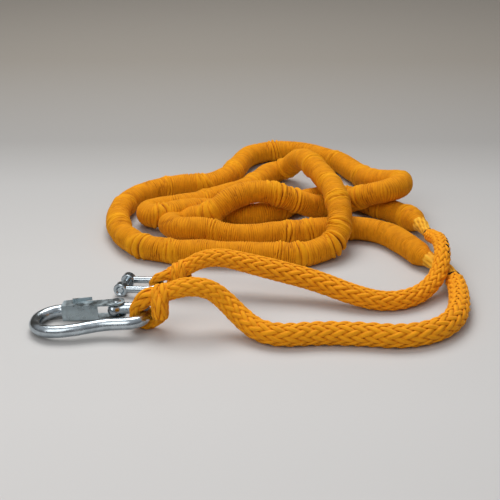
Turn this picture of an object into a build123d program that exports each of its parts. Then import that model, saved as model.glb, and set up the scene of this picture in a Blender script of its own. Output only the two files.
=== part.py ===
from build123d import *
import math
import os

# Elastic safety tether, lying in a loose heap on a flat surface.
# Frame: millimetres, +Z up from that surface. The origin is under the middle of the
# steel fittings (snap hook and shackle together). +X runs from the fittings to the heap.

# ---------------------------------------------------------------- driving dimensions
SLEEVE_OD = 22.0          # gathered textile sleeve
NECK_OD = 13.0            # smooth tied-down end of the sleeve
HOOK_LEG_OD = 17.0        # hollow braided rope between the heap and the hook
SHACKLE_LEG_OD = 14.5     # hollow braided rope between the heap and the shackle
WHIPPING_OD = 16.0        # thread bound round each neck at the rope's cut end
WHIPPING_LENGTH = 4.0
WHIPPING_GAP = 0.2
STITCH_DIAMETER = 1.4     # lock-stitches on the shackle leg
STITCH_COUNT = 6
STITCH_PITCH = 9.0
BEND_SHARE = 0.45         # share of the shorter run that a bend takes

HOOK_ROD = 10.0           # snap hook, round bar
HOOK_EYE_WIDTH = 30.0     # across the eye, bar centre to bar centre
HOOK_BIG_WIDTH = 40.0     # across the big end, bar centre to bar centre
HOOK_LENGTH = 90.0        # bar centre to bar centre
HOOK_NOSE_AT = 64.0       # nose tip, measured from the eye
HOOK_PIVOT_AT = 25.0      # gate rivet, measured from the eye
GATE_CLEARANCE = 0.35
GATE_SHEET = 1.2
GATE_NOSE_OVERLAP = 6.0
GATE_WEB_START = 15.0     # where the channel's back starts, measured from the rivet
RIVET_DIAMETER = 4.0
RIVET_CLEARANCE = 0.08
SPRING_OD = 4.2
SPRING_WIRE = 0.9
SPRING_LENGTH = 13.0

BOW_ROD = 6.0             # D-shackle
SHACKLE_INSIDE = 12.0     # between the ears
SHACKLE_LENGTH = 32.0     # pin centre to bow centre
EAR_DIAMETER = 12.0
EAR_THICKNESS = 6.6
PIN_DIAMETER = 6.0
PIN_CLEARANCE = 0.06
PIN_HEAD_DIAMETER = 8.6   # flush head, sunk into the rear ear
PIN_HEAD_THICKNESS = 2.4
PIN_RECESS = 0.8          # thread end, below the front ear's face
PIN_BORE_CHAMFER = 0.9
HEX_KEY = 4.0             # across the flats
HEX_DEPTH = 3.0

LOOP_THICKNESS = 4.5      # rope flattened where it goes round a bar
HOOK_LOOP_WIDTH = 10.0
HOOK_LOOP_CLEARANCE = 1.5
BOW_LOOP_WIDTH = 8.4
BOW_LOOP_CLEARANCE = 1.4
HOOK_KNOT_LONG = 14.0     # half lengths of the knots
HOOK_KNOT_SHORT = 12.5
SHACKLE_KNOT_LONG = 12.0
SHACKLE_KNOT_SHORT = 10.0
TAIL_OD = 12.0            # rope's free end beside the hook's knot

# ---------------------------------------------------------------- where the fittings lie
HOOK_EYE_CENTRE = Vector(42.4, -29.0, 12.5)    # bar centre at the end of the eye
HOOK_LIFT = 4.2                                # degrees, eye end raised by the rope under it
HOOK_ROLL = 2.0                                # degrees, front bar raised
SHACKLE_CENTRE = Vector(49.0, 32.6, 9.6)       # bar centre at the end of the bow
SHACKLE_LIFT = 6.0                             # degrees, bow end raised by the rope under it
SHACKLE_YAW = 15.0                             # degrees, turned about the vertical

# ---------------------------------------------------------------- how the rope lies
# One rope from the hook's knot to the shackle's knot. Each stretch ends half way along
# a straight run, and the next stretch starts there in the same direction.
HOOK_LEG_ROUTE = [
    (68, -30, 32.5), (81, -31, 38), (95, -29, 34), (107, -31, 25), (118, -38, 16), (131, -50, 10),
    (150, -58, 9), (181, -53, 9), (215, -55, 9), (247, -60, 9), (276, -49, 9), (294, -25, 9),
    (301, 4, 9), (303, 30, 9), (302, 43, 9.5),
]
HOOK_NECK_ROUTE = [(302, 43, 9.5), (301, 56, 10), (291, 74, 11), (285, 83, 11)]
SLEEVE_ROUTE = [
    (285, 83, 11), (279, 92, 11), (271, 112, 11), (259, 135, 11), (242, 151, 11),
    (220, 155, 11), (195, 152, 11), (168, 146, 11), (141, 138, 11), (115, 134, 11),
    (92, 136, 15), (77, 136, 18), (64, 136, 18), (53, 143, 17), (49, 157, 14),
    (57, 170, 11), (73, 173, 14), (90, 171, 20), (107, 179, 31), (128, 187, 36),
    (150, 186, 35), (168, 189, 25), (191, 202, 13), (214, 210, 13), (229, 203, 21),
    (243, 194, 30), (260, 193, 34), (275, 207, 34), (276, 230, 30), (260, 247, 24),
    (249, 271, 16), (244, 301, 11), (232, 338, 11), (208, 366, 11), (175, 380, 11),
    (145, 376, 11), (122, 356, 11), (113, 325, 11), (105, 294, 11), (87, 273, 11),
    (57, 268, 11), (27, 254, 11), (5, 227, 11), (-3, 191, 11), (2, 151, 11),
    (18, 118, 11), (45, 102, 11), (80, 98, 11), (123, 95, 11), (165, 92, 11),
    (187, 98, 11), (205, 113, 15), (210, 135, 29), (209, 161, 37), (204, 198, 39),
    (195, 232, 39), (188, 256, 39), (184, 273, 36), (176, 292, 26), (166, 307, 16),
    (153, 311, 11), (141, 301, 11), (134, 284, 11), (121, 265, 11), (101, 245, 11),
    (77, 223, 11), (55, 209, 11), (41, 206, 11), (29, 197, 12), (26, 184, 14),
    (33, 172, 16), (46, 170, 18), (60, 181, 18), (75, 195, 14), (92, 198, 11),
    (111, 190, 11), (131, 186, 11), (152, 200, 11), (171, 220, 11), (195, 234, 11),
    (219, 236, 11), (240, 224, 11), (259, 203, 11), (273, 188, 11), (282, 176, 12),
    (285, 166, 13),
]
SHACKLE_NECK_ROUTE = [(285, 166, 13), (288, 156, 14), (289, 140, 15), (290, 129, 17)]
SHACKLE_LEG_ROUTE = [
    (290, 129, 17), (291, 118, 19), (295, 97, 25), (295, 76, 28), (293, 56, 26),
    (287, 37, 16), (273, 20, 9), (256, 8, 8), (236, 4, 8), (212, 9, 12),
    (182, 24, 18), (150, 31, 24), (125, 37, 28), (102, 41, 31), (88, 41, 30),
    (76, 40, 24),
]
HOOK_TAIL_ROUTE = [(60, -38, 16), (62, -42, 11), (65, -47, 7.5), (70, -51, 6.5)]
HOOK_KNOT_CENTRE = Vector(58.5, -29.5, 24)
HOOK_KNOT_AXIS = Vector(0.8, 0, 0.6)
SHACKLE_KNOT_CENTRE = Vector(66.5, 38.5, 17)
SHACKLE_KNOT_AXIS = Vector(0.8, 0, 0.6)

os.makedirs("parts", exist_ok=True)


# ---------------------------------------------------------------- helpers
def bend_radii(points):
    """Radius of each bend: as large as its two runs allow."""
    radii = []
    for before, corner, after in zip(points, points[1:], points[2:]):
        run_in = Vector(*corner) - Vector(*before)
        run_out = Vector(*after) - Vector(*corner)
        turn = math.radians(run_in.get_angle(run_out))
        shorter = min(run_in.length, run_out.length)
        radii.append(BEND_SHARE * shorter / math.tan(turn / 2))
    return radii


def start_plane(line):
    """Plane square to a line at its start."""
    return Plane(origin=line @ 0, z_dir=line % 0)


def rope_tube(points, outer, label):
    """Round rope along a route of straight runs joined by tangent arcs."""
    radii = bend_radii(points)
    with BuildPart() as tube:
        with BuildLine():
            route = FilletPolyline(*points, radius=radii)
        with BuildSketch(start_plane(route)):
            Circle(outer / 2)
        sweep()
    section = math.pi * outer ** 2 / 4
    share = tube.part.volume / (section * route.length)
    print(f"{label}: length {route.length:.0f}, volume/section {share:.4f},"
          f" radii {min(radii):.0f} to {max(radii):.0f}: {[round(r) for r in radii]}")
    return tube


def save(part, label):
    """Label a finished piece and write its STEP file."""
    part.label = label
    export_step(part, f"parts/{label}.step")


# ---------------------------------------------------------------- rope pieces
sleeve = rope_tube(SLEEVE_ROUTE, SLEEVE_OD, "sleeve")
hook_neck = rope_tube(HOOK_NECK_ROUTE, NECK_OD, "hook_neck")
shackle_neck = rope_tube(SHACKLE_NECK_ROUTE, NECK_OD, "shackle_neck")
hook_leg = rope_tube(HOOK_LEG_ROUTE, HOOK_LEG_OD, "hook_leg")
shackle_leg = rope_tube(SHACKLE_LEG_ROUTE, SHACKLE_LEG_OD, "shackle_leg")


def whipping(neck_route, at_start):
    """Thread bound round the neck, against the rope's cut end."""
    ends = neck_route[:2] if at_start else neck_route[:-3:-1]
    cut = Vector(*ends[0])
    along = (Vector(*ends[1]) - cut).normalized()
    with BuildPart() as binding:
        with BuildSketch(Plane(origin=cut + along * WHIPPING_GAP, z_dir=along)):
            Circle(WHIPPING_OD / 2)
            Circle(NECK_OD / 2 + WHIPPING_GAP, mode=Mode.SUBTRACT)
        extrude(amount=WHIPPING_LENGTH)
    return binding


hook_whipping = whipping(HOOK_NECK_ROUTE, True)
shackle_whipping = whipping(SHACKLE_NECK_ROUTE, False)


def lock_stitches():
    """Short thread bars lying across the shackle leg, near its cut end."""
    with BuildLine():
        route = FilletPolyline(*SHACKLE_LEG_ROUTE, radius=bend_radii(SHACKLE_LEG_ROUTE))
    with BuildPart() as stitches:
        for index in range(STITCH_COUNT):
            share = STITCH_PITCH * (index + 1) / route.length
            middle = route @ share
            along = route % share
            side = along.cross(Vector(0, 0, 1)).normalized()
            out = side * -1
            foot = middle + out * (SHACKLE_LEG_OD / 2)
            slant = (along + Vector(0, 0, 0.6)).normalized()
            with BuildSketch(Plane(origin=foot - slant * 2.5, z_dir=slant)):
                Circle(STITCH_DIAMETER / 2)
            extrude(amount=5.0)
        add(shackle_leg.part, mode=Mode.SUBTRACT)
    return stitches


stitches = lock_stitches()


# ---------------------------------------------------------------- snap hook
hook_plane = Plane(origin=HOOK_EYE_CENTRE, x_dir=(-1, 0, 0), z_dir=(0, 0, 1))
hook_plane = hook_plane.rotated((-HOOK_ROLL, -HOOK_LIFT, 0))

eye_half = HOOK_EYE_WIDTH / 2
big_half = HOOK_BIG_WIDTH / 2
pivot = Vector(HOOK_PIVOT_AT, -eye_half - 1.5)
nose = Vector(HOOK_NOSE_AT, -big_half)
gate_angle = math.degrees(math.atan2(nose.Y - pivot.Y, nose.X - pivot.X))
gate_plane = Plane(
    origin=hook_plane.from_local_coords(pivot),
    x_dir=hook_plane.from_local_coords(nose) - hook_plane.from_local_coords(pivot),
    z_dir=hook_plane.z_dir,
)


def hook_bar():
    """One round bar: closed-in rod end, eye, waisted back, big end and open nose."""
    outline = [
        (32, -11.5), (pivot.X - 1, pivot.Y), (0, -eye_half), (0, eye_half), (33, eye_half - 2.0),
        (60, big_half + 0.3), (HOOK_LENGTH, big_half), (HOOK_LENGTH, -big_half),
        (HOOK_NOSE_AT, -big_half),
    ]
    bends = [7, eye_half - 1, eye_half - 1, 50, 60, big_half - 0.5, big_half - 0.5]
    with BuildPart() as body:
        with BuildLine(hook_plane):
            bar_line = FilletPolyline(*outline, radius=bends)
        with BuildSketch(start_plane(bar_line)):
            Circle(HOOK_ROD / 2)
        sweep()
        tips = body.edges().filter_by(GeomType.CIRCLE).filter_by(
            lambda edge: abs(edge.radius - HOOK_ROD / 2) < 0.01)
        rod_end = tips.sort_by_distance(bar_line @ 0)[0]
        nose_end = tips.sort_by_distance(bar_line @ 1)[0]
        fillet(rod_end, HOOK_ROD * 0.4)
        fillet(nose_end, HOOK_ROD * 0.2)
        with BuildSketch(Plane(origin=gate_plane.origin, z_dir=gate_plane.z_dir)):
            Circle(RIVET_DIAMETER / 2)
        extrude(amount=HOOK_ROD, both=True, mode=Mode.SUBTRACT)
    return body


flange_at = HOOK_ROD / 2 + GATE_CLEARANCE
flange_top = flange_at + GATE_SHEET
nose_distance = (nose - pivot).length
gate_reach = nose_distance + GATE_NOSE_OVERLAP
web_at = flange_at + GATE_NOSE_OVERLAP * (pivot.Y - nose.Y) / nose_distance
web_top = web_at + GATE_SHEET


def pressed_gate():
    """Pressed sheet channel that straddles the bar at the rivet and at the nose."""
    with BuildPart() as gate:
        for side in (-1, 1):
            low = flange_at if side > 0 else -flange_top
            with BuildSketch(gate_plane.offset(low)):
                with BuildLine():
                    Polyline(
                        (0, flange_top), (GATE_WEB_START, web_top), (gate_reach, web_top),
                        (gate_reach, -4.5), (gate_reach - 9, -6), (gate_reach - 20, -2.5),
                        (0, -flange_at), close=True)
                make_face()
                Circle(flange_top)
            extrude(amount=GATE_SHEET)
        with BuildSketch(gate_plane.offset(-flange_top)):
            with Locations(((GATE_WEB_START + gate_reach) / 2, web_at + GATE_SHEET / 2)):
                Rectangle(gate_reach - GATE_WEB_START, GATE_SHEET)
        extrude(amount=2 * flange_top)
        with BuildSketch(gate_plane.offset(flange_top)):
            with Locations((gate_reach - 16, -3.2)):
                Rectangle(16, GATE_SHEET, rotation=8)
        extrude(amount=2.4)
        with BuildSketch(gate_plane):
            Circle(RIVET_DIAMETER / 2 + RIVET_CLEARANCE)
        extrude(amount=HOOK_ROD, both=True, mode=Mode.SUBTRACT)
    return gate


def gate_rivet_pin():
    """Rivet through both gate flanges and the bar, with a low head at each end."""
    head_at = flange_top + 0.15
    with BuildPart() as rivet:
        with BuildSketch(gate_plane.offset(-head_at)):
            Circle(RIVET_DIAMETER / 2)
        extrude(amount=2 * head_at)
        for side in (-1, 1):
            with BuildSketch(gate_plane.offset(side * head_at)):
                Circle(RIVET_DIAMETER * 0.85)
            extrude(amount=side * 1.0, taper=30)
    return rivet


def gate_coil_spring():
    """Small compression spring lying inside the gate channel."""
    turns = 7
    coil_radius = (SPRING_OD - SPRING_WIRE) / 2
    start = gate_plane.from_local_coords((GATE_WEB_START + 4.0, 1.5, 0))
    with BuildPart() as spring:
        with BuildLine():
            coil = Helix(SPRING_LENGTH / turns, SPRING_LENGTH, coil_radius,
                         center=start, direction=gate_plane.x_dir)
        with BuildSketch(Plane(origin=coil @ 0, z_dir=coil % 0)):
            Circle(SPRING_WIRE / 2)
        sweep(path=coil, is_frenet=True)
    return spring


hook_body = hook_bar()
hook_gate = pressed_gate()
gate_rivet = gate_rivet_pin()
gate_spring = gate_coil_spring()


# ---------------------------------------------------------------- D-shackle
shackle_heading = Vector(-1, 0, 0).rotate(Axis.Z, -SHACKLE_YAW)
shackle_plane = Plane(origin=SHACKLE_CENTRE, x_dir=shackle_heading, z_dir=(0, 0, 1))
shackle_plane = shackle_plane.rotated((0, -SHACKLE_LIFT, 0))
ear_middle = (SHACKLE_INSIDE + EAR_THICKNESS) / 2
pin_length = SHACKLE_INSIDE + 2 * EAR_THICKNESS
pin_centre = shackle_plane.from_local_coords((SHACKLE_LENGTH, 0, 0))
pin_direction = shackle_plane.y_dir
pin_plane = Plane(origin=pin_centre, z_dir=pin_direction)


def shackle_bar():
    """U-shaped round bar with a flat round ear at each end, bored for the pin."""
    with BuildPart() as bow:
        for side in (-1, 1):
            with BuildSketch(pin_plane.offset(side * ear_middle)):
                Circle(EAR_DIAMETER / 2)
            extrude(amount=EAR_THICKNESS / 2, both=True)
        chamfer(bow.edges().filter_by(GeomType.CIRCLE), 0.6)
        with BuildLine(shackle_plane):
            bar_line = FilletPolyline(
                (SHACKLE_LENGTH, -ear_middle), (0, -ear_middle), (0, ear_middle),
                (SHACKLE_LENGTH, ear_middle), radius=ear_middle - 0.5)
        with BuildSketch(start_plane(bar_line)):
            Circle(BOW_ROD / 2)
        sweep()
        with BuildSketch(pin_plane):
            Circle(PIN_DIAMETER / 2 + PIN_CLEARANCE)
        extrude(amount=pin_length, both=True, mode=Mode.SUBTRACT)
        bore_rims = bow.edges().filter_by(GeomType.CIRCLE).filter_by(
            lambda edge: abs(edge.radius - PIN_DIAMETER / 2 - PIN_CLEARANCE) < 0.001)
        chamfer(bore_rims.sort_by(Axis(pin_centre, pin_direction))[-1], PIN_BORE_CHAMFER)
        with BuildSketch(pin_plane.offset(-pin_length / 2)):
            Circle(PIN_HEAD_DIAMETER / 2 + PIN_CLEARANCE)
        extrude(amount=PIN_HEAD_THICKNESS, mode=Mode.SUBTRACT)
    return bow


def shackle_screw_pin():
    """Flush screw pin: hex-socket head sunk in the rear ear, thread end inside the front ear."""
    rear = -pin_length / 2
    with BuildPart() as pin:
        with BuildSketch(pin_plane.offset(rear)):
            Circle(PIN_DIAMETER / 2)
        extrude(amount=pin_length - PIN_RECESS)
        chamfer(pin.edges().sort_by(Axis(pin_centre, pin_direction))[-1], 0.6)
        with BuildSketch(pin_plane.offset(rear)):
            Circle(PIN_HEAD_DIAMETER / 2)
        extrude(amount=PIN_HEAD_THICKNESS - PIN_CLEARANCE)
        head_rim = pin.edges().filter_by(GeomType.CIRCLE).sort_by(Axis(pin_centre, pin_direction))[0]
        chamfer(head_rim, 0.5)
        with BuildSketch(pin_plane.offset(rear)):
            RegularPolygon(HEX_KEY / 2, 6, major_radius=False)
        extrude(amount=HEX_DEPTH, mode=Mode.SUBTRACT)
    return pin


shackle_bow = shackle_bar()
shackle_pin = shackle_screw_pin()


# ---------------------------------------------------------------- rope loops and knots
def rope_loop(plane, bar, clearance, width):
    """Flattened rope going once round a bar, as a closed band."""
    inner = bar / 2 + clearance
    with BuildPart() as loop:
        with BuildSketch(Plane(origin=plane.origin, z_dir=plane.y_dir).offset(-width / 2)):
            Circle(inner + LOOP_THICKNESS)
            Circle(inner, mode=Mode.SUBTRACT)
        extrude(amount=width)
        rims = loop.edges().filter_by(GeomType.CIRCLE).group_by(SortBy.RADIUS)[-1]
        fillet(rims, LOOP_THICKNESS * 0.4)
    return loop


def rope_knot(centre, toward, long_half, short_half, leg_end, loop_plane, loop_outer, tail=None):
    """Rounded lump of the knot, flat against the leg's end and hollowed for the loop and tail."""
    with BuildPart() as knot:
        with BuildSketch(Plane(origin=centre, x_dir=toward, z_dir=(0, 1, 0))):
            Ellipse(long_half, short_half)
            with Locations((0, -short_half)):
                Rectangle(2 * long_half, 2 * short_half, mode=Mode.SUBTRACT)
        revolve(axis=Axis(centre, toward))
        split(bisect_by=leg_end, keep=Keep.BOTTOM)
        with BuildSketch(Plane(origin=loop_plane.origin, z_dir=loop_plane.y_dir)):
            Circle(loop_outer)
        extrude(amount=2 * long_half, both=True, mode=Mode.SUBTRACT)
        if tail:
            add(tail.part, mode=Mode.SUBTRACT)
    return knot


hook_loop_outer = HOOK_ROD / 2 + HOOK_LOOP_CLEARANCE + LOOP_THICKNESS
bow_loop_outer = BOW_ROD / 2 + BOW_LOOP_CLEARANCE + LOOP_THICKNESS
hook_eye_loop = rope_loop(hook_plane, HOOK_ROD, HOOK_LOOP_CLEARANCE, HOOK_LOOP_WIDTH)
shackle_bow_loop = rope_loop(shackle_plane, BOW_ROD, BOW_LOOP_CLEARANCE, BOW_LOOP_WIDTH)
hook_leg_start = Vector(*HOOK_LEG_ROUTE[0])
shackle_leg_finish = Vector(*SHACKLE_LEG_ROUTE[-1])
hook_leg_end = Plane(origin=hook_leg_start, z_dir=Vector(*HOOK_LEG_ROUTE[1]) - hook_leg_start)
shackle_leg_end = Plane(
    origin=shackle_leg_finish, z_dir=Vector(*SHACKLE_LEG_ROUTE[-2]) - shackle_leg_finish)
hook_knot_tail = rope_tube(HOOK_TAIL_ROUTE, TAIL_OD, "hook_knot_tail")
hook_knot = rope_knot(
    HOOK_KNOT_CENTRE, HOOK_KNOT_AXIS, HOOK_KNOT_LONG, HOOK_KNOT_SHORT,
    hook_leg_end, hook_plane, hook_loop_outer, hook_knot_tail)
shackle_knot = rope_knot(
    SHACKLE_KNOT_CENTRE, SHACKLE_KNOT_AXIS, SHACKLE_KNOT_LONG, SHACKLE_KNOT_SHORT,
    shackle_leg_end, shackle_plane, bow_loop_outer)

# ---------------------------------------------------------------- output
for piece, name in (
    (sleeve, "sleeve"), (hook_neck, "hook_neck"),
    (shackle_neck, "shackle_neck"), (hook_leg, "hook_leg"), (shackle_leg, "shackle_leg"),
    (hook_whipping, "hook_whipping"), (shackle_whipping, "shackle_whipping"),
    (stitches, "lock_stitches"), (hook_eye_loop, "hook_eye_loop"), (hook_knot, "hook_knot"),
    (hook_knot_tail, "hook_knot_tail"),
    (shackle_bow_loop, "shackle_bow_loop"), (shackle_knot, "shackle_knot"),
    (hook_body, "hook_body"), (hook_gate, "hook_gate"), (gate_rivet, "gate_rivet"),
    (gate_spring, "gate_spring"), (shackle_bow, "shackle_bow"), (shackle_pin, "shackle_pin"),
):
    save(piece.part, name)

print("gate hinge", gate_plane.origin, gate_plane.z_dir)
print("hook swing", hook_plane.origin, hook_plane.y_dir)
print("shackle swing", shackle_plane.origin, shackle_plane.y_dir)
print("pin", pin_centre, pin_direction)
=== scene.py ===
import math
import bpy
import numpy as np
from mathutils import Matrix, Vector


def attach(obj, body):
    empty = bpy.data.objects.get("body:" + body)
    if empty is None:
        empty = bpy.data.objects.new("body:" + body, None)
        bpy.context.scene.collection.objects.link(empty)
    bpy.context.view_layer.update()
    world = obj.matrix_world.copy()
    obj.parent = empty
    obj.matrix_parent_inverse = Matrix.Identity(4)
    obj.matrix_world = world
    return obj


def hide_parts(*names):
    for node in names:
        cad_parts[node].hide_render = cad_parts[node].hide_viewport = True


# Elastic safety tether in a loose heap: gathered sleeve, braided rope legs, knots, snap hook
# and shackle. Metres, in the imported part's frame: +Z up, origin under the steel fittings.
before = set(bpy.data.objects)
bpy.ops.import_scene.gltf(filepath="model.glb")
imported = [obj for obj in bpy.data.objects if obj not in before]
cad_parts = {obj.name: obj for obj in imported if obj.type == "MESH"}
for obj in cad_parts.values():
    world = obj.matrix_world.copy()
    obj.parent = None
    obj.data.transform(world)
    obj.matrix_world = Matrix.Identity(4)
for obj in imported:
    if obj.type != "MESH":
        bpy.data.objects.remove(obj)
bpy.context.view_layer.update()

TURN = 2 * math.pi

# The rope's route from the hook to the shackle. The points are those of the part's source, some
# of them moved a little. Each route starts where the one before it ends.
HOOK_LEG_ROUTE = [
    (0.056, -0.03, 0.0315), (0.067, -0.03, 0.0365), (0.08, -0.031, 0.0395), (0.095, -0.029, 0.0355),
    (0.107, -0.031, 0.0255),
    (0.118, -0.038, 0.016), (0.131, -0.05, 0.01), (0.15, -0.058, 0.009), (0.181, -0.053, 0.009),
    (0.215, -0.055, 0.009), (0.247, -0.06, 0.009), (0.276, -0.049, 0.009), (0.294, -0.025, 0.009),
    (0.301, 0.004, 0.009), (0.303, 0.03, 0.009), (0.302, 0.043, 0.0095),
]
HOOK_NECK_ROUTE = [
    (0.302, 0.043, 0.0095), (0.301, 0.056, 0.01), (0.291, 0.074, 0.011), (0.285, 0.083, 0.011),
]
SLEEVE_ROUTE = [
    (0.285, 0.083, 0.011), (0.279, 0.092, 0.011), (0.271, 0.112, 0.011), (0.259, 0.135, 0.011),
    (0.242, 0.151, 0.011), (0.22, 0.155, 0.011), (0.195, 0.152, 0.011), (0.168, 0.146, 0.011),
    (0.141, 0.138, 0.011), (0.115, 0.134, 0.011), (0.092, 0.136, 0.015), (0.077, 0.136, 0.018),
    (0.064, 0.136, 0.018), (0.053, 0.143, 0.017), (0.049, 0.157, 0.014), (0.057, 0.17, 0.011),
    (0.073, 0.173, 0.014), (0.09, 0.171, 0.02), (0.107, 0.179, 0.031), (0.128, 0.187, 0.036),
    (0.15, 0.186, 0.035), (0.168, 0.189, 0.025), (0.191, 0.202, 0.013), (0.214, 0.21, 0.013),
    (0.229, 0.203, 0.021), (0.243, 0.194, 0.03), (0.26, 0.193, 0.034), (0.275, 0.207, 0.034),
    (0.276, 0.23, 0.03), (0.26, 0.247, 0.024), (0.249, 0.271, 0.016), (0.24, 0.302, 0.011),
    (0.226, 0.334, 0.011), (0.203, 0.358, 0.011), (0.174, 0.375, 0.011), (0.145, 0.374, 0.011),
    (0.122, 0.356, 0.011), (0.113, 0.325, 0.011), (0.105, 0.294, 0.011), (0.087, 0.273, 0.011),
    (0.057, 0.268, 0.011), (0.027, 0.254, 0.011), (0.005, 0.227, 0.011), (-0.003, 0.191, 0.011),
    (0.002, 0.151, 0.011), (0.018, 0.118, 0.011), (0.045, 0.102, 0.011), (0.08, 0.098, 0.011),
    (0.123, 0.095, 0.011), (0.165, 0.092, 0.011), (0.187, 0.098, 0.011), (0.205, 0.113, 0.015),
    (0.21, 0.135, 0.029), (0.209, 0.161, 0.037), (0.204, 0.198, 0.039), (0.195, 0.232, 0.039),
    (0.187, 0.256, 0.0395), (0.181, 0.278, 0.037), (0.1745, 0.295, 0.028), (0.167, 0.306, 0.017),
    (0.157, 0.31, 0.011), (0.145, 0.301, 0.011), (0.135, 0.281, 0.011), (0.125, 0.26, 0.011),
    (0.105, 0.242, 0.011), (0.079, 0.223, 0.011), (0.055, 0.209, 0.011), (0.041, 0.206, 0.011),
    (0.029, 0.197, 0.012), (0.026, 0.184, 0.014), (0.033, 0.172, 0.016), (0.046, 0.17, 0.018),
    (0.06, 0.181, 0.018), (0.075, 0.195, 0.014), (0.092, 0.198, 0.011), (0.111, 0.19, 0.011),
    (0.131, 0.186, 0.011), (0.152, 0.2, 0.011), (0.171, 0.22, 0.011), (0.195, 0.234, 0.011),
    (0.219, 0.236, 0.011), (0.24, 0.224, 0.011), (0.259, 0.203, 0.011), (0.273, 0.188, 0.011),
    (0.283, 0.173, 0.012), (0.287, 0.158, 0.0135),
]
SHACKLE_NECK_ROUTE = [
    (0.287, 0.158, 0.0135), (0.289, 0.148, 0.0145), (0.29, 0.133, 0.0165), (0.291, 0.12, 0.0188),
]
SHACKLE_LEG_ROUTE = [
    (0.291, 0.12, 0.0188), (0.292, 0.11, 0.021), (0.295, 0.097, 0.025), (0.295, 0.076, 0.028),
    (0.293, 0.056, 0.026), (0.287, 0.037, 0.016), (0.273, 0.02, 0.009), (0.256, 0.008, 0.008),
    (0.236, 0.004, 0.008), (0.212, 0.009, 0.012), (0.182, 0.024, 0.018), (0.15, 0.031, 0.024),
    (0.125, 0.037, 0.028), (0.103, 0.041, 0.032), (0.088, 0.041, 0.031), (0.077, 0.04, 0.0265),
    (0.069, 0.0385, 0.0215),
]

# Sizes, in metres, unless a comment says otherwise.
SLEEVE_DIAMETER = 0.022
FLOOR_GAP = 0.0002

# Gathered sleeve. The fold depth and spread are factors on each bunch's own depth and pitch.
SLEEVE_COLUMNS = 40
ROWS_PER_RIB = 4
RIB_PITCH = 0.0018
RIB_HEIGHT = 0.0005
SWELL_HEIGHT = 0.0005
CREASE_DEPTH = 0.0006
FOLD_DEPTH = 0.95
FOLD_SPREAD = 1.45
FOLD_RISE = 0.0008
WAIST_LENGTH = 0.016
WAIST_SHARE = 0.36

# Braided rope. A slope is the turn round the rope for each step along it.
LEG_STRANDS = 12
LEG_STRAND_THICKNESS = 0.0020
LEG_SLOPE = 0.42
HOOK_LEG_STRAND_WIDTH = 0.0038
SHACKLE_LEG_STRAND_WIDTH = 0.0034
KNOT_SLOPE = 0.36
BRAID_STEP = 0.0009
STRAND_CORNERS = 12
LINER_COLUMNS = 20
WEAVE_SHARE = 0.50

# Radius along each rope: (distance, radius) stops.
HOOK_LEG_STOPS = [(0.0, 0.0056), (0.012, 0.0070), (0.04, 0.0072), (0.10, 0.0084),
                  (0.17, 0.0089), (0.27, 0.0087), (0.31, 0.0078), (0.337, 0.0072)]
SHACKLE_LEG_STOPS = [(0.0, 0.0053), (0.02, 0.0057), (0.07, 0.0066), (0.12, 0.0072),
                     (0.20, 0.0084), (0.25, 0.0084), (0.29, 0.0072), (0.315, 0.0066),
                     (0.338, 0.0052)]
HOOK_NECK_STOPS = [(0.0, 0.0060), (0.020, 0.0062), (0.034, 0.0066), (0.045, 0.0068)]
SHACKLE_NECK_STOPS = [(0.0, 0.0070), (0.010, 0.0060), (0.022, 0.0047), (0.040, 0.0043)]

# Necks, whippings and stitches. STITCH_SIDE is the angle round the rope, in radians.
NECK_ROWS = 90
NECK_COLUMNS = 36
WHIPPING_TURNS = 4.6
WHIPPING_THREAD = 0.0005
WHIPPING_NEAR = 0.0004
WHIPPING_FAR = 0.0030
STITCH_COUNT = 7
STITCH_START = 0.013
STITCH_STEP = 0.0085
STITCH_HALF = 0.0022
STITCH_SIDE = 2.4

SPLINE_STEPS = 24


# ---------------------------------------------------------------- lines and meshes
class Line:
    """A smooth rope line: its points, the distance to each, and a frame that doesn't twist."""

    def __init__(self, name, route):
        curve = bpy.data.curves.new(name + "_route", "CURVE")
        curve.dimensions = "3D"
        curve.resolution_u = SPLINE_STEPS
        spline = curve.splines.new("NURBS")
        spline.points.add(len(route) - 1)
        for control, place in zip(spline.points, route):
            control.co = (*place, 1.0)
        spline.order_u = 3
        spline.use_endpoint_u = True
        holder = bpy.data.objects.new(name + "_route", curve)
        mesh = bpy.data.meshes.new_from_object(holder)
        self.points = np.array([tuple(v.co) for v in mesh.vertices])
        bpy.data.meshes.remove(mesh)
        bpy.data.objects.remove(holder)
        bpy.data.curves.remove(curve)
        steps = np.linalg.norm(np.diff(self.points, axis=0), axis=1)
        self.at = np.concatenate([[0.0], np.cumsum(steps)])
        self.length = float(self.at[-1])
        self.along = unit(np.gradient(self.points, self.at, axis=0))
        self.side = self.untwisted_sides()

    def untwisted_sides(self):
        """One sideways direction for each point, carried along without twisting."""
        sides = np.zeros_like(self.points)
        side = np.cross(self.along[0], (0.0, 0.0, 1.0))
        for i, along in enumerate(self.along):
            side = side - along * np.dot(side, along)
            side = side / np.linalg.norm(side)
            sides[i] = side
        return sides

    def frames(self, distances):
        """Centre, sideways, upward and forward directions at each distance."""
        def read(rows):
            return np.stack([np.interp(distances, self.at, rows[:, k]) for k in range(3)], 1)
        along = unit(read(self.along))
        side = read(self.side)
        side = unit(side - along * np.sum(side * along, axis=1, keepdims=True))
        return read(self.points), side, np.cross(side, along), along

    def path(self):
        """The line's own points, as plain lists."""
        return self.points.tolist()


def unit(rows):
    """Rows scaled to length one."""
    return rows / np.maximum(np.linalg.norm(rows, axis=-1, keepdims=True), 1e-9)


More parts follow.
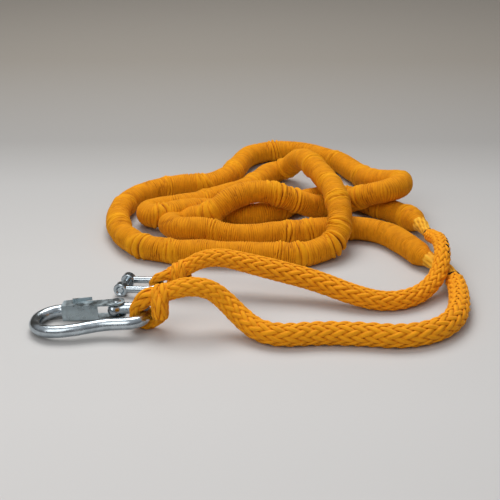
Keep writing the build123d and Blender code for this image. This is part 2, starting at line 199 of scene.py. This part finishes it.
def smooth_noise(seed, distance, angle, length, waves):
    """Smooth noise of about -1 to 1 over a tube, of a length along it and some waves around."""
    random = np.random.default_rng(seed)
    total = np.zeros(np.broadcast(distance, angle).shape)
    terms = 9
    for _ in range(terms):
        pace = random.uniform(0.45, 1.6) / length
        lobes = random.integers(-waves, waves + 1)
        shift = random.uniform(0, TURN)
        total = total + np.cos(TURN * pace * distance + lobes * angle + shift)
    return total / (terms ** 0.5) / 1.3


def ease(values, start, end):
    """Smooth step from 0 at start to 1 at end."""
    share = np.clip((values - start) / (end - start), 0.0, 1.0)
    return share * share * (3 - 2 * share)


def spokes(side, up, angle):
    """Outward directions of a tube: a row for each place along it, a column for each angle."""
    return side[:, None, :] * np.cos(angle)[..., None] + up[:, None, :] * np.sin(angle)[..., None]


def tube_marks(distance, angle):
    """For each point of a tube, the distance along it and the share of the way round it."""
    return np.stack(np.broadcast_arrays(distance, angle / TURN, 0 * angle), axis=-1)


def grid_faces(rows, columns, first):
    """Quads of a tube from its first vertex on, with a cap at each end."""
    row, column = np.meshgrid(np.arange(rows - 1), np.arange(columns), indexing="ij")
    beside = (column + 1) % columns
    quads = np.stack([
        row * columns + column, row * columns + beside,
        (row + 1) * columns + beside, (row + 1) * columns + column], axis=-1)
    quads = quads.reshape(-1, 4) + first
    head = [first + k for k in range(columns)][::-1]
    tail = [first + (rows - 1) * columns + k for k in range(columns)]
    return quads.tolist() + [head, tail]


def make_piece(name, tubes, material, painted_shades=None, marks=None):
    """One mesh object of closed tubes on the tether. Each tube is rows by columns by 3."""
    faces = []
    first = 0
    for tube in tubes:
        faces += grid_faces(tube.shape[0], tube.shape[1], first)
        first += tube.shape[0] * tube.shape[1]
    places = np.concatenate([tube.reshape(-1, 3) for tube in tubes])
    places[:, 2] = np.maximum(places[:, 2], FLOOR_GAP)
    mesh = bpy.data.meshes.new(name)
    mesh.from_pydata(places.tolist(), [], faces)
    mesh.update()
    mesh.shade_smooth()
    if painted_shades is not None:
        # A painted shade level for each vertex, which the cloth material turns into painted shade
        # and painted highlight.
        shade = mesh.attributes.new("painted_shade", "FLOAT", "POINT")
        shade.data.foreach_set("value", np.concatenate([h.ravel() for h in painted_shades]))
    if marks is not None:
        around = mesh.attributes.new("around", "FLOAT_VECTOR", "POINT")
        flat = np.concatenate([m.reshape(-1, 3) for m in marks])
        around.data.foreach_set("vector", flat.ravel())
    mesh.materials.append(material)
    piece = bpy.data.objects.new(name, mesh)
    bpy.context.scene.collection.objects.link(piece)
    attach(piece, "tether")
    return piece


# ---------------------------------------------------------------- materials
def new_material(name, base, roughness, metallic=0.0, sheen=0.0):
    """A Principled material with its constants on the shader's own sockets."""
    material = bpy.data.materials.new(name)
    material.use_nodes = True
    shader = material.node_tree.nodes["Principled BSDF"]
    shader.inputs["Base Color"].default_value = (*base, 1.0)
    shader.inputs["Roughness"].default_value = roughness
    shader.inputs["Metallic"].default_value = metallic
    shader.inputs["Sheen Weight"].default_value = sheen
    shader.inputs["Sheen Roughness"].default_value = 0.4
    shader.inputs["Sheen Tint"].default_value = (1.0, 0.75, 0.35, 1.0)
    return material, material.node_tree, shader


def link(tree, start, out, end, into):
    """Join one node's output to another's input."""
    tree.links.new(start.outputs[out], end.inputs[into])


def colour_ramp(tree, stops):
    """A ColorRamp with the given (place, colour) stops."""
    ramp = tree.nodes.new("ShaderNodeValToRGB")
    elements = ramp.color_ramp.elements
    while len(elements) < len(stops):
        elements.new(0.5)
    for element, (place, colour) in zip(elements, stops):
        element.position = place
        element.color = (*colour, 1.0)
    return ramp


def noise(tree, scale, detail):
    """A noise texture."""
    node = tree.nodes.new("ShaderNodeTexNoise")
    node.inputs["Scale"].default_value = scale
    node.inputs["Detail"].default_value = detail
    return node


def add_bump(tree, shader, texture, strength, distance):
    """Fine relief from a texture."""
    bump = tree.nodes.new("ShaderNodeBump")
    bump.inputs["Strength"].default_value = strength
    bump.inputs["Distance"].default_value = distance
    link(tree, texture, "Fac", bump, "Height")
    link(tree, bump, "Normal", shader, "Normal")


def painted_shade_and_dye(tree, shade_colour, middle, highlight_colour):
    """Colour from a shade level on each vertex: painted shade in the creases, painted highlight on
    the ridges, with a little uneven dye.
    """
    painted_shade = tree.nodes.new("ShaderNodeAttribute")
    painted_shade.attribute_name = "painted_shade"
    dye = noise(tree, 38.0, 4.0)
    place = tree.nodes.new("ShaderNodeTexCoord")
    link(tree, place, "Object", dye, "Vector")
    mixed = tree.nodes.new("ShaderNodeMath")
    mixed.operation = "MULTIPLY_ADD"
    mixed.inputs[1].default_value = 0.16
    link(tree, dye, "Fac", mixed, 0)
    link(tree, painted_shade, "Fac", mixed, 2)
    # Painted shade at the ramp's low end, painted highlight at its high end; the noise above is
    # real uneven dye.
    ramp = colour_ramp(tree, [(0.12, shade_colour), (0.58, middle), (0.98, highlight_colour)])
    link(tree, mixed, "Value", ramp, "Fac")
    return ramp


def thread_noise(tree, weave):
    """Noise drawn out along the threads: weave is its scale along and round the rope."""
    around = tree.nodes.new("ShaderNodeAttribute")
    around.attribute_name = "around"
    stretch = tree.nodes.new("ShaderNodeMapping")
    stretch.inputs["Scale"].default_value = weave
    threads = noise(tree, 1.0, 3.0)
    link(tree, around, "Vector", stretch, "Vector")
    link(tree, stretch, "Vector", threads, "Vector")
    return threads


def cloth_material(name, shade_colour, middle, highlight_colour, roughness, weave, relief):
    """Dyed textile: painted shade in its creases, painted highlight on its ridges, uneven dye, and
    fine threads that go round.
    """
    material, tree, shader = new_material(name, middle, roughness, sheen=0.09)
    shader.inputs["Specular IOR Level"].default_value = 0.18
    dyed = painted_shade_and_dye(tree, shade_colour, middle, highlight_colour)
    threads = thread_noise(tree, weave)
    fade = colour_ramp(tree, [(0.30, (0.62, 0.52, 0.42)), (0.62, (1.0, 1.0, 1.0))])
    link(tree, threads, "Fac", fade, "Fac")
    tint = tree.nodes.new("ShaderNodeMix")
    tint.data_type = "RGBA"
    tint.blend_type = "MULTIPLY"
    factor, colour_a, colour_b, colour_out = 0, 6, 7, 2
    tint.inputs[factor].default_value = 0.5
    link(tree, dyed, "Color", tint, colour_a)
    link(tree, fade, "Color", tint, colour_b)
    link(tree, tint, colour_out, shader, "Base Color")
    add_bump(tree, shader, threads, 0.6, relief)
    return material


def zinc_material(name, base, roughness):
    """Zinc-plated steel: bluish, softly brushed, with dull cloudy patches."""
    material, tree, shader = new_material(name, base, roughness, metallic=1.0)
    place = tree.nodes.new("ShaderNodeTexCoord")
    clouds = noise(tree, 160.0, 6.0)
    link(tree, place, "Object", clouds, "Vector")
    low = tuple(0.80 * c for c in base)
    high = tuple(min(1.0, 1.12 * c) for c in base)
    ramp = colour_ramp(tree, [(0.35, low), (0.65, high)])
    link(tree, clouds, "Fac", ramp, "Fac")
    link(tree, ramp, "Color", shader, "Base Color")
    dull = tree.nodes.new("ShaderNodeMapRange")
    dull.inputs["From Min"].default_value = 0.35
    dull.inputs["From Max"].default_value = 0.70
    dull.inputs["To Min"].default_value = roughness * 0.7
    dull.inputs["To Max"].default_value = roughness * 1.5
    link(tree, clouds, "Fac", dull, "Value")
    link(tree, dull, "Result", shader, "Roughness")
    scratches = noise(tree, 900.0, 3.0)
    link(tree, place, "Object", scratches, "Vector")
    add_bump(tree, shader, scratches, 0.25, 0.0001)
    return material


# Each cloth has a shade colour, a middle colour and a highlight colour: the first is painted shade,
# the last a painted highlight.
SLEEVE_CLOTH = cloth_material(
    "sleeve_cloth", (0.24, 0.060, 0.001), (0.70, 0.247, 0.0015), (0.84, 0.35, 0.004),
    0.85, (260.0, 7.0, 1.0), 0.0006)
NECK_CLOTH = cloth_material(
    "neck_cloth", (0.45, 0.17, 0.006), (0.88, 0.41, 0.020), (0.96, 0.54, 0.045),
    0.75, (70.0, 30.0, 1.0), 0.0004)
ROPE_CLOTH = cloth_material(
    "rope_cloth", (0.30, 0.075, 0.001), (0.80, 0.265, 0.003), (0.95, 0.38, 0.008),
    0.80, (120.0, 4.0, 1.0), 0.0006)
THREAD = cloth_material(
    "dark_thread", (0.010, 0.006, 0.004), (0.030, 0.016, 0.010), (0.09, 0.045, 0.02),
    0.6, (900.0, 3.0, 1.0), 0.0002)
ZINC = zinc_material("zinc_steel", (0.46, 0.52, 0.56), 0.20)
GATE_ZINC = zinc_material("gate_zinc", (0.40, 0.47, 0.50), 0.32)
SPRING_STEEL = zinc_material("spring_wire", (0.40, 0.42, 0.45), 0.28)


# ---------------------------------------------------------------- gathered sleeve
# Bunches of folds: distance along the sleeve, reach, folds' pitch, depth, skew, side (radians).
BUNCHES = [
    (0.107, 0.0050, 0.0029, 0.0014, 0.002, 0.5), (0.141, 0.0060, 0.0033, 0.0018, 0.003, 2.0),
    (0.164, 0.0050, 0.0029, 0.0016, -0.002, 1.0), (0.232, 0.0045, 0.0028, 0.0012, 0.003, 2.4),
    (0.336, 0.0065, 0.0036, 0.0022, 0.004, 3.0), (0.404, 0.0060, 0.0033, 0.0020, 0.003, 5.0),
    (0.424, 0.0045, 0.0029, 0.0016, 0.002, 4.6), (0.500, 0.0050, 0.0031, 0.0017, 0.003, 3.6),
    (0.560, 0.0045, 0.0029, 0.0013, 0.004, 0.2), (0.640, 0.0050, 0.0031, 0.0015, 0.003, 4.4),
    (0.700, 0.0040, 0.0028, 0.0012, -0.003, 2.0), (0.773, 0.0060, 0.0034, 0.0020, 0.003, 1.6),
    (0.859, 0.0075, 0.0034, 0.0019, 0.006, 2.6), (0.910, 0.0065, 0.0036, 0.0023, 0.003, 1.1),
    (0.949, 0.0045, 0.0031, 0.0019, -0.002, 2.0), (1.012, 0.0040, 0.0028, 0.0010, 0.003, 0.6),
    (1.068, 0.0045, 0.0029, 0.0011, 0.003, 4.0), (1.121, 0.0055, 0.0038, 0.0022, 0.002, 2.9),
    (1.150, 0.0040, 0.0028, 0.0011, -0.002, 2.2), (1.247, 0.0040, 0.0029, 0.0016, 0.002, 1.2),
    (1.267, 0.0045, 0.0033, 0.0020, -0.002, 2.5), (1.302, 0.0065, 0.0034, 0.0022, 0.004, 3.3),
    (1.321, 0.0045, 0.0031, 0.0017, 0.003, 3.5), (1.358, 0.0050, 0.0031, 0.0018, 0.003, 4.6),
    (1.394, 0.0045, 0.0029, 0.0016, -0.003, 5.4), (1.446, 0.0040, 0.0028, 0.0012, 0.003, 1.9),
    (1.520, 0.0050, 0.0031, 0.0017, 0.003, 2.1), (1.578, 0.0045, 0.0029, 0.0015, 0.003, 3.9),
    (1.646, 0.0045, 0.0029, 0.0014, -0.003, 1.4), (1.735, 0.0060, 0.0033, 0.0018, 0.004, 0.3),
    (1.802, 0.0050, 0.0031, 0.0015, 0.003, 2.3), (1.866, 0.0050, 0.0031, 0.0017, -0.003, 3.0),
    (1.941, 0.0045, 0.0029, 0.0014, 0.003, 1.7), (1.985, 0.0050, 0.0031, 0.0016, 0.002, 2.9),
    (2.022, 0.0050, 0.0029, 0.0014, -0.003, 0.8),
]


def bunch(distance, angle, at, reach, pitch, depth, skew, side):
    """Height of one bunch of folds, closer together on the side that they fan out from."""
    leaning = distance - at - skew * np.cos(angle - side)
    uneven = smooth_noise(int(at * 1000), distance, angle, 0.014, 2)
    local = leaning * (1 + 0.30 * np.cos(angle - side)) + 0.0009 * uneven
    inside = np.exp(-(local / reach) ** 4)
    folds = np.abs(np.cos(math.pi * local / (FOLD_SPREAD * pitch))) * 2 - 1.3
    strength = 0.65 + 0.35 * smooth_noise(int(at * 1000) + 7, distance, angle, 0.03, 1)
    return inside * (FOLD_RISE + FOLD_DEPTH * depth * folds * strength)


def gathered_sleeve():
    """The sleeve: fine ribs round it, small creases, bunched folds, and pulled-in ends."""
    line = Line("sleeve", SLEEVE_ROUTE)
    rows = int(line.length / (RIB_PITCH / ROWS_PER_RIB))
    distance = np.linspace(0, line.length, rows)[:, None]
    angle = np.linspace(0, TURN, SLEEVE_COLUMNS, endpoint=False)[None, :]
    phase = TURN * distance / RIB_PITCH
    phase = phase + 2.6 * smooth_noise(1, distance, angle, 0.030, 2)
    phase = phase + 1.1 * smooth_noise(2, distance, angle, 0.009, 4)
    clarity = 0.8 + 0.3 * smooth_noise(3, distance, angle, 0.022, 2)
    ribs = RIB_HEIGHT * clarity * (np.abs(np.cos(phase / 2)) * 2 - 1.2)
    swell = SWELL_HEIGHT * smooth_noise(4, distance, angle, 0.055, 1)
    wrinkle = smooth_noise(5, distance, angle, 0.0085, 2)
    creases = -CREASE_DEPTH * np.clip(np.abs(wrinkle) * -4 + 1, 0, 1)
    creases = creases * ease(smooth_noise(6, distance, angle, 0.05, 1), -0.3, 0.6)
    folds = sum(bunch(distance, angle, *row) for row in BUNCHES)
    quiet = 1 - 0.5 * np.clip(np.abs(folds) / 0.001, 0, 1)
    from_end = np.minimum(distance, line.length - distance)
    waist = 1 - WAIST_SHARE * (1 - ease(from_end, 0.0, WAIST_LENGTH))
    relief = ribs * quiet + swell + creases + folds
    radius = SLEEVE_DIAMETER / 2 * waist + relief
    centre, side, up, _ = line.frames(distance[:, 0])
    tube = centre[:, None, :] + spokes(side, up, angle) * radius[..., None]
    # Painted shade in the creases and fold valleys, painted highlight on the ribs and fold tops.
    painted_shade = 0.62 + (relief - swell) / 0.0018
    piece = make_piece("gathered_sleeve", [tube], SLEEVE_CLOTH,
                       painted_shades=[painted_shade], marks=[tube_marks(distance, angle)])
    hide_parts("sleeve")
    return piece, line


# ---------------------------------------------------------------- braided rope
def braid(line, radius_at, strands, width, thickness, slope):
    """Hollow braid: strands go round both ways, each over two and then under two others."""
    rows = int(line.length / BRAID_STEP)
    distance = np.linspace(0.0, line.length, rows)
    radius = radius_at(distance)
    turn = np.cumsum(np.gradient(distance) * slope / radius)
    centre, side, up, _ = line.frames(distance)
    corner = np.linspace(0, TURN, STRAND_CORNERS, endpoint=False)
    lobes = 1 + 0.10 * np.cos(4 * corner)
    half_width = width / 2 * (0.6 + 0.4 * radius / radius.max())[:, None]
    tallest = WEAVE_SHARE * thickness
    tubes = []
    painted_shades = []
    marks = []
    for way in (1, -1):
        swing = way * np.cos(strands * turn / 2 - way * math.pi / 4) * tallest
        for k in range(strands):
            weave = swing * (-1) ** k
            angle = way * turn + TURN * k / strands
            spoke = side * np.cos(angle)[:, None] + up * np.sin(angle)[:, None]
            middle = centre + spoke * (radius - thickness / 2 + weave)[:, None]
            forward = unit(np.gradient(middle, axis=0))
            across = unit(np.cross(spoke, forward))
            out = np.cross(forward, across)
            flat = across[:, None, :] * (np.cos(corner) * lobes * half_width)[..., None]
            tall = out[:, None, :] * (np.sin(corner) * lobes * thickness / 2)[None, :, None]
            tubes.append(middle[:, None, :] + flat + tall)
            # Painted shade where a strand dips under the others and on its inner side, painted
            # highlight on its outer side.
            painted_shades.append(0.5 + 0.22 * weave[:, None] / tallest + 0.28 * np.sin(corner))
            mark = np.broadcast_arrays(distance[:, None], corner[None, :] / TURN + k * 3.1, 0.0)
            marks.append(np.stack(mark, axis=-1))
    liner = np.linspace(0, TURN, LINER_COLUMNS, endpoint=False)[None, :]
    inner = (radius - thickness * 0.9)[:, None]
    tubes.append(centre[:, None, :] + spokes(side, up, liner) * inner[..., None])
    # The liner between the strands is painted in the shade colour, as painted shade.
    painted_shades.append(np.full((rows, LINER_COLUMNS), 0.05))
    marks.append(tube_marks(distance[:, None], liner))
    return tubes, painted_shades, marks


def profile(stops):
    """Radius along a rope, smooth between given (distance, radius) stops."""
    places, radii = zip(*stops)
    window = np.hanning(41)
    kernel = window / window.sum()

    def radius_at(distance):
        fine = np.linspace(places[0], places[-1], 400)
        rough = np.interp(fine, places, radii)
        soft = np.convolve(np.pad(rough, 20, mode="edge"), kernel, mode="valid")
        return np.interp(distance, fine, soft)
    return radius_at


def rope_leg(name, route, stops, node, width):
    """One braided rope leg."""
    line = Line(name, route)
    tubes, painted_shades, marks = braid(
        line, profile(stops), LEG_STRANDS, width, LEG_STRAND_THICKNESS, LEG_SLOPE)
    piece = make_piece(name, tubes, ROPE_CLOTH, painted_shades, marks)
    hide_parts(node)
    return piece, line


# ---------------------------------------------------------------- necks and thread
def neck(name, line, stops, node):
    """Smooth stretched end of the sleeve, with long soft pleats, going into the rope."""
    distance = np.linspace(0, line.length, NECK_ROWS)[:, None]
    angle = np.linspace(0, TURN, NECK_COLUMNS, endpoint=False)[None, :]
    pleats = 0.00035 * np.cos(9 * angle + 260 * distance)
    pleats = pleats + 0.00025 * smooth_noise(11, distance, angle, 0.02, 5)
    radius = profile(stops)(distance[:, 0])[:, None] + pleats
    centre, side, up, _ = line.frames(distance[:, 0])
    tube = centre[:, None, :] + spokes(side, up, angle) * radius[..., None]
    # Painted shade in the pleats' valleys, painted highlight on their crests.
    piece = make_piece(name, [tube], NECK_CLOTH,
                       painted_shades=[0.6 + pleats / 0.0012], marks=[tube_marks(distance, angle)])
    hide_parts(node)
    return piece


def thread_tube(places, radius, columns=8):
    """A thin round thread along given places."""
    along = unit(np.gradient(places, axis=0))
    oblique = (0.31, 0.17, 0.93)
    side = unit(np.cross(along, oblique))
    up = np.cross(along, side)
    angle = np.linspace(0, TURN, columns, endpoint=False)[None, :]
    return places[:, None, :] + spokes(side, up, angle) * radius


def around_rope(line, distance, angle, radius):
    """Places at one angle and one radius for each distance along a rope."""
    centre, side, up, _ = line.frames(distance)
    spoke = side * np.cos(angle)[:, None] + up * np.sin(angle)[:, None]
    return centre + spoke * radius[:, None]


def whipping(name, line, start, finish, radius_at, node):
    """Dark thread wound round the neck at the rope's cut end, with slightly uneven turns."""
    share = np.linspace(0, 1, int(48 * WHIPPING_TURNS))
    distance = start + (finish - start) * share
    angle = TURN * WHIPPING_TURNS * share
    wobble = 0.00015 * np.sin(5.3 * angle)
    radius = radius_at(distance) + WHIPPING_THREAD + wobble
    places = around_rope(line, distance, angle, radius)
    piece = make_piece(name, [thread_tube(places, WHIPPING_THREAD)], THREAD)
    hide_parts(node)
    return piece


def surface_thread(line, distance, angle, radius_at, thread):
    """A thread lying on a rope's surface, with its ends tucked in."""
    dip = 0.0016 * np.abs(np.linspace(-1, 1, len(distance))) ** 4
    places = around_rope(line, distance, angle, radius_at(distance) + thread - dip)
    return thread_tube(places, thread)


def lock_stitches(line, radius_at):
    """Dark stitches that hold the rope's end closed: a dotted row, and one long thread."""
    tubes = []
    for k in range(STITCH_COUNT):
        middle = STITCH_START + STITCH_STEP * k
        distance = np.linspace(middle - STITCH_HALF, middle + STITCH_HALF, 7)
        slant = np.linspace(-0.28, 0.28, 7)
        angle = STITCH_SIDE + 0.12 * math.sin(2.4 * k) + slant
        tubes.append(surface_thread(line, distance, angle, radius_at, 0.0005))
    distance = np.linspace(0.001, 0.020, 24)
    angle = np.full(24, STITCH_SIDE + 2.5) + 0.15 * np.sin(distance * 300)
    tubes.append(surface_thread(line, distance, angle, radius_at, 0.0004))
    piece = make_piece("dark_stitches", tubes, THREAD)
    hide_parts("lock_stitches")
    return piece


# ---------------------------------------------------------------- knots and loops
def wrap_route(centre, half_height, half_width, turns, advance, climb, lean):
    """Points of a rope wound as an upright oval round a knot, with both ends tucked in."""
    per_turn = 12
    tuck_start = 0.42
    count = int(turns * per_turn)
    points = []
    for k in range(count + 1):
        share = k / count - 0.5
        angle = TURN * (turns * share + 0.25)
        tuck = 1 - 3.0 * max(0.0, abs(share) - tuck_start)
        rise = half_height * math.cos(angle) * tuck
        ahead = advance * turns * share
        points.append((centre[0] + ahead - lean * rise,
                       centre[1] + half_width * math.sin(angle) * tuck,
                       centre[2] + rise + climb * ahead))
    return points


def knot_piece(name, route, stops, strands, width, thickness, node):
    """One short braided rope of a knot."""
    line = Line(name, route)
    tubes, painted_shades, marks = braid(line, profile(stops), strands, width, thickness, KNOT_SLOPE)
    piece = make_piece(name, tubes, ROPE_CLOTH, painted_shades, marks)
    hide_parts(node)
    return piece


def hook_knot():
    """The knot by the hook: two wraps, the loop round the eye, and the tail in front."""
    wrap = wrap_route((0.0540, -0.0305, 0.0250), 0.0115, 0.0085, 2.0, 0.0056, 0.2, 0.10)
    knot = knot_piece("hook_rope_knot", wrap, [(0.0, 0.0034), (0.12, 0.0038)],
                      6, 0.0036, 0.0016, "hook_knot")
    over = [
        (0.0570, -0.0300, 0.0315), (0.0510, -0.0300, 0.0305), (0.0450, -0.0298, 0.0295),
        (0.0395, -0.0295, 0.0255), (0.0345, -0.0292, 0.0195), (0.0325, -0.0290, 0.0120),
        (0.0350, -0.0288, 0.0063), (0.0424, -0.0286, 0.0029), (0.0495, -0.0288, 0.0065),
        (0.0540, -0.0295, 0.0130), (0.0550, -0.0300, 0.0200), (0.0555, -0.0300, 0.0250),
    ]
    stops = [(0.0, 0.0052), (0.006, 0.0060), (0.0115, 0.0072), (0.018, 0.0066), (0.0255, 0.0046),
             (0.033, 0.0039), (0.039, 0.0033), (0.0465, 0.0032), (0.054, 0.0037),
             (0.0615, 0.0050), (0.073, 0.0052)]
    loop = knot_piece("hook_rope_loop", over, stops, 8, 0.0040, 0.0019, "hook_eye_loop")
    down = [
        (0.0530, -0.0360, 0.0330), (0.0540, -0.0410, 0.0285), (0.0548, -0.0430, 0.0225),
        (0.0553, -0.0430, 0.0170),
    ]
    tail = knot_piece("hook_rope_tail", down, [(0.0, 0.0040), (0.02, 0.0048)],
                      6, 0.0036, 0.0018, "hook_knot_tail")
    return [knot, loop, tail]


def shackle_knot():
    """The smaller knot by the shackle, and its loop round the bow."""
    wrap = wrap_route((0.0652, 0.0378, 0.0185), 0.0066, 0.0066, 2.5, 0.0052, 0.55, 0.20)
    knot = knot_piece("shackle_rope_knot", wrap, [(0.0, 0.0030), (0.10, 0.0034)],
                      6, 0.0032, 0.0015, "shackle_knot")
    over = [
        (0.0660, 0.0380, 0.0200), (0.0600, 0.0370, 0.0180), (0.0545, 0.0350, 0.0183),
        (0.0495, 0.0330, 0.0174), (0.0440, 0.0336, 0.0142), (0.0422, 0.0342, 0.0090),
        (0.0445, 0.0338, 0.0042), (0.0500, 0.0324, 0.0026), (0.0553, 0.0318, 0.0052),
        (0.0585, 0.0340, 0.0105), (0.0605, 0.0365, 0.0150),
    ]
    stops = [(0.0, 0.0046), (0.006, 0.0044), (0.0115, 0.0041), (0.017, 0.0036), (0.023, 0.0029),
             (0.028, 0.0026), (0.0335, 0.0024), (0.039, 0.0023), (0.0445, 0.0026),
             (0.051, 0.0036), (0.058, 0.0040)]
    loop = knot_piece("shackle_rope_loop", over, stops, 6, 0.0034, 0.0015, "shackle_bow_loop")
    return [knot, loop]


# ---------------------------------------------------------------- steel fittings
def finish_steel():
    """The CAD's own steel parts, with their plating."""
    plating = {
        "hook_body": ZINC, "gate_rivet": ZINC, "shackle_bow": ZINC, "shackle_pin": ZINC,
        "hook_gate": GATE_ZINC, "gate_spring": SPRING_STEEL,
    }
    for node, material in plating.items():
        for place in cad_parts[node].material_slots:
            place.material = material


# ---------------------------------------------------------------- stage
def floor_material():
    """Pale paper floor, warmer and darker towards the back."""
    material, tree, shader = new_material("paper_floor", (0.60, 0.58, 0.56), 0.75)
    place = tree.nodes.new("ShaderNodeTexCoord")
    split = tree.nodes.new("ShaderNodeSeparateXYZ")
    link(tree, place, "Object", split, "Vector")
    back = tree.nodes.new("ShaderNodeMapRange")
    back.inputs["From Min"].default_value = -0.15
    back.inputs["From Max"].default_value = 0.80
    link(tree, split, "Y", back, "Value")
    ramp = colour_ramp(tree, [
        (0.0, (0.59, 0.582, 0.570)), (0.26, (0.535, 0.528, 0.515)), (0.47, (0.45, 0.445, 0.435)),
        (0.62, (0.33, 0.321, 0.308)), (1.0, (0.29, 0.266, 0.232))])
    link(tree, back, "Result", ramp, "Fac")
    link(tree, ramp, "Color", shader, "Base Color")
    return material


def add_floor():
    """A floor that curves up into a back wall."""
    half = 6.0
    near = -2.0
    bend_start = 1.6
    bend_radius = 0.8
    wall_top = 2.4
    steps = 24
    outline = [(near, 0.0), (bend_start, 0.0)]
    for k in range(1, steps + 1):
        angle = math.pi / 2 * k / steps
        outline.append((bend_start + bend_radius * math.sin(angle),
                        bend_radius * (1 - math.cos(angle))))
    outline.append((bend_start + bend_radius, wall_top))
    verts = [(x, y, z) for y, z in outline for x in (-half, half)]
    faces = [(2 * k, 2 * k + 1, 2 * k + 3, 2 * k + 2) for k in range(len(outline) - 1)]
    mesh = bpy.data.meshes.new("floor")
    mesh.from_pydata(verts, [], faces)
    mesh.shade_smooth()
    mesh.materials.append(floor_material())
    floor = bpy.data.objects.new("floor", mesh)
    bpy.context.scene.collection.objects.link(floor)


def add_light(name, place, target, size, power, colour):
    """A square area light that points at its target."""
    data = bpy.data.lights.new(name, "AREA")
    data.size = size
    data.energy = power
    data.color = colour
    light = bpy.data.objects.new(name, data)
    light.location = place
    light.rotation_euler = (Vector(target) - Vector(place)).to_track_quat("-Z", "Y").to_euler()
    bpy.context.scene.collection.objects.link(light)


def add_world():
    """Soft surroundings: light above, dim near the horizon."""
    world = bpy.data.worlds.new("studio")
    world.use_nodes = True
    tree = world.node_tree
    place = tree.nodes.new("ShaderNodeTexCoord")
    split = tree.nodes.new("ShaderNodeSeparateXYZ")
    link(tree, place, "Generated", split, "Vector")
    ramp = colour_ramp(tree, [
        (0.30, (0.55, 0.52, 0.50)), (0.52, (0.20, 0.19, 0.19)), (0.75, (0.55, 0.55, 0.56)),
        (1.0, (0.95, 0.96, 1.0))])
    half = tree.nodes.new("ShaderNodeMath")
    half.operation = "MULTIPLY_ADD"
    half.inputs[1].default_value = 0.5
    half.inputs[2].default_value = 0.5
    link(tree, split, "Z", half, 0)
    link(tree, half, "Value", ramp, "Fac")
    background = tree.nodes["Background"]
    background.inputs["Strength"].default_value = 0.62
    link(tree, ramp, "Color", background, "Color")
    bpy.context.scene.world = world


def add_camera():
    """Camera 24 degrees above the floor, looking along +Y."""
    elevation = 24
    data = bpy.data.cameras.new("camera")
    data.lens = 86.4
    data.sensor_width = 36.0
    camera = bpy.data.objects.new("camera", data)
    camera.location = (0.126, -0.8918, 0.454)
    camera.rotation_euler = (math.radians(90 - elevation), 0.0, 0.0)
    bpy.context.scene.collection.objects.link(camera)
    bpy.context.scene.camera = camera


# ---------------------------------------------------------------- build
bpy.context.scene.view_settings.view_transform = "Standard"
add_camera()
add_world()
heap_middle = (0.13, 0.10, 0.0)
add_light("key", (-0.03, 0.62, 1.20), heap_middle, 0.9, 13.0, (1.0, 0.99, 0.98))
add_light("fill", (-0.5, -0.9, 1.0), heap_middle, 1.0, 6.0, (1.0, 0.98, 0.96))
add_floor()
finish_steel()

sleeve, sleeve_line = gathered_sleeve()
hook_leg, hook_leg_line = rope_leg(
    "hook_rope_leg", HOOK_LEG_ROUTE, HOOK_LEG_STOPS, "hook_leg", HOOK_LEG_STRAND_WIDTH)
shackle_leg, shackle_leg_line = rope_leg(
    "shackle_rope_leg", SHACKLE_LEG_ROUTE, SHACKLE_LEG_STOPS, "shackle_leg",
    SHACKLE_LEG_STRAND_WIDTH)
hook_neck_line = Line("hook_neck", HOOK_NECK_ROUTE)
shackle_neck_line = Line("shackle_neck", SHACKLE_NECK_ROUTE)
hook_neck = neck("hook_side_neck", hook_neck_line, HOOK_NECK_STOPS, "hook_neck")
shackle_neck = neck(
    "shackle_side_neck", shackle_neck_line, SHACKLE_NECK_STOPS, "shackle_neck")
hook_whip = whipping(
    "hook_side_whipping", hook_neck_line, WHIPPING_NEAR, WHIPPING_FAR,
    profile(HOOK_NECK_STOPS), "hook_whipping")
shackle_whip = whipping(
    "shackle_side_whipping", shackle_neck_line, shackle_neck_line.length - WHIPPING_FAR,
    shackle_neck_line.length - WHIPPING_NEAR, profile(SHACKLE_NECK_STOPS),
    "shackle_whipping")
stitches = lock_stitches(shackle_leg_line, profile(SHACKLE_LEG_STOPS))
hook_side = hook_knot()
shackle_side = shackle_knot()

hook_leg_line.path()
shackle_leg_line.path()[::-1]
sleeve_line.path()
